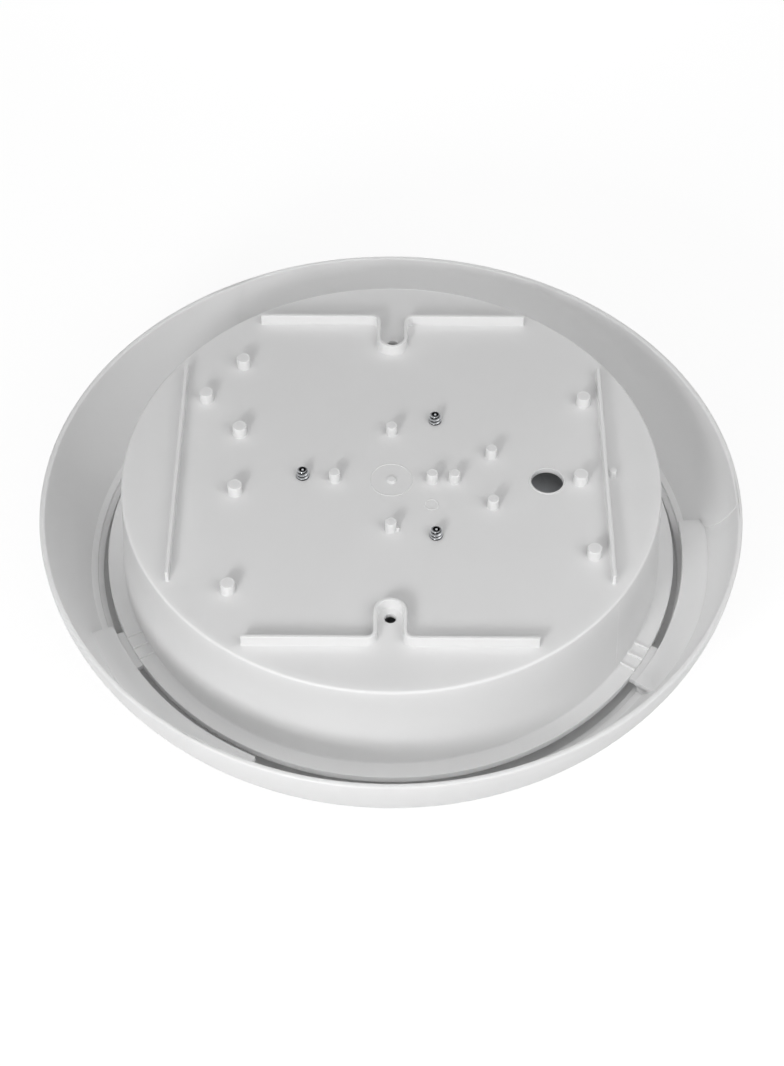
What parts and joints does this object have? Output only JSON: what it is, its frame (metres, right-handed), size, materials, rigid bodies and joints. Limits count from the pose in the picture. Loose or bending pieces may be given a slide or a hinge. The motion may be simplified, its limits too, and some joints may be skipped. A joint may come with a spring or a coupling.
{
  "type": "motion sensor ceiling light",
  "caption": "Round opal bowl ceiling light with a twist-lock cover on a deep white base; a hidden motion sensor with setting knobs switches an LED ring.",
  "frame": {"origin": "on the lamp's axis in the plane of the flat back, midway between the two mounting holes; the ribs meet the ceiling 5.2 mm above it", "axes": "+Z along the lamp's axis into the ceiling, with the dome at -Z; +X towards the cable hole; Y through the two mounting holes"},
  "size_m": [0.2999, 0.3, 0.1],
  "materials": {
    "opal_cover": "satin opal moulding",
    "white_housing": "satin white moulding",
    "galvanised_sheet": "galvanised",
    "zinc_screw": "zinc plated",
    "board_white": "white solder mask on aluminium",
    "led_phosphor": "yellow phosphor gel",
    "white_nylon": "moulded nylon",
    "board_green": "green solder mask",
    "transformer_tape": "yellow tape and black core",
    "capacitor_sleeve": "shrink sleeve",
    "ferrite": "bare ferrite",
    "aerial_can": "drawn can",
    "black_plastic": "moulded",
    "grey_plastic": "moulded",
    "spring_brass": "stamped",
    "brown_lead": "insulation",
    "blue_lead": "insulation",
    "red_lead": "insulation",
    "black_lead": "insulation"
  },
  "bodies": {
    "base": {"base_housing": "white_housing", "gear_tray": "galvanised_sheet", "tray_screws": "zinc_screw", "led_board": "board_white", "led_packages": "led_phosphor", "led_connector": "white_nylon", "led_board_screws": "zinc_screw", "driver_case": "white_nylon", "driver_lid": "white_nylon", "driver_board": "board_green", "driver_transformer": "transformer_tape", "driver_capacitor": "capacitor_sleeve", "driver_choke": "ferrite", "driver_screws": "zinc_screw", "sensor_case": "white_nylon", "sensor_face": "white_nylon", "sensor_board": "board_green", "sensor_antenna": "aerial_can", "sensor_trimmers": "grey_plastic", "sensor_screws": "zinc_screw", "terminal_block": "white_nylon", "terminal_contacts": "spring_brass", "terminal_screws": "zinc_screw", "live_lead": "brown_lead", "neutral_lead": "blue_lead", "switched_lead": "brown_lead", "return_lead": "blue_lead", "led_plus_lead": "red_lead", "led_minus_lead": "black_lead"},
    "cover": {"bowl_cover": "opal_cover"},
    "reach_knob": {"reach_adjuster": "black_plastic"},
    "time_knob": {"time_adjuster": "black_plastic"},
    "daylight_knob": {"daylight_adjuster": "black_plastic"},
    "live_release": {"live_button": "grey_plastic"},
    "loop_release": {"loop_button": "grey_plastic"},
    "neutral_release": {"neutral_button": "grey_plastic"}
  },
  "joints": [
    {"name": "cover_twist", "type": "hinge", "parent": "base", "child": "cover", "pos_m": [0, 0, 0], "axis": [0, 0, 1], "range_deg": [-44, 0]},
    {"name": "reach_turn", "type": "hinge", "parent": "base", "child": "reach_knob", "pos_m": [-0.014, -0.0165, -0.0308], "axis": [0, 0, -1], "range_deg": [-135, 135]},
    {"name": "time_turn", "type": "hinge", "parent": "base", "child": "time_knob", "pos_m": [0, -0.0165, -0.0308], "axis": [0, 0, -1], "range_deg": [-135, 135]},
    {"name": "daylight_turn", "type": "hinge", "parent": "base", "child": "daylight_knob", "pos_m": [0.014, -0.0165, -0.0308], "axis": [0, 0, -1], "range_deg": [-135, 135]},
    {"name": "live_press", "type": "slide", "parent": "base", "child": "live_release", "axis": [0, 0, 1], "range_m": [0, 0.0014], "stiffness_N_per_m": 1500, "springref_m": -0.001},
    {"name": "loop_press", "type": "slide", "parent": "base", "child": "loop_release", "axis": [0, 0, 1], "range_m": [0, 0.0014], "stiffness_N_per_m": 1500, "springref_m": -0.001},
    {"name": "neutral_press", "type": "slide", "parent": "base", "child": "neutral_release", "axis": [0, 0, 1], "range_m": [0, 0.0014], "stiffness_N_per_m": 1500, "springref_m": -0.001}
  ]
}
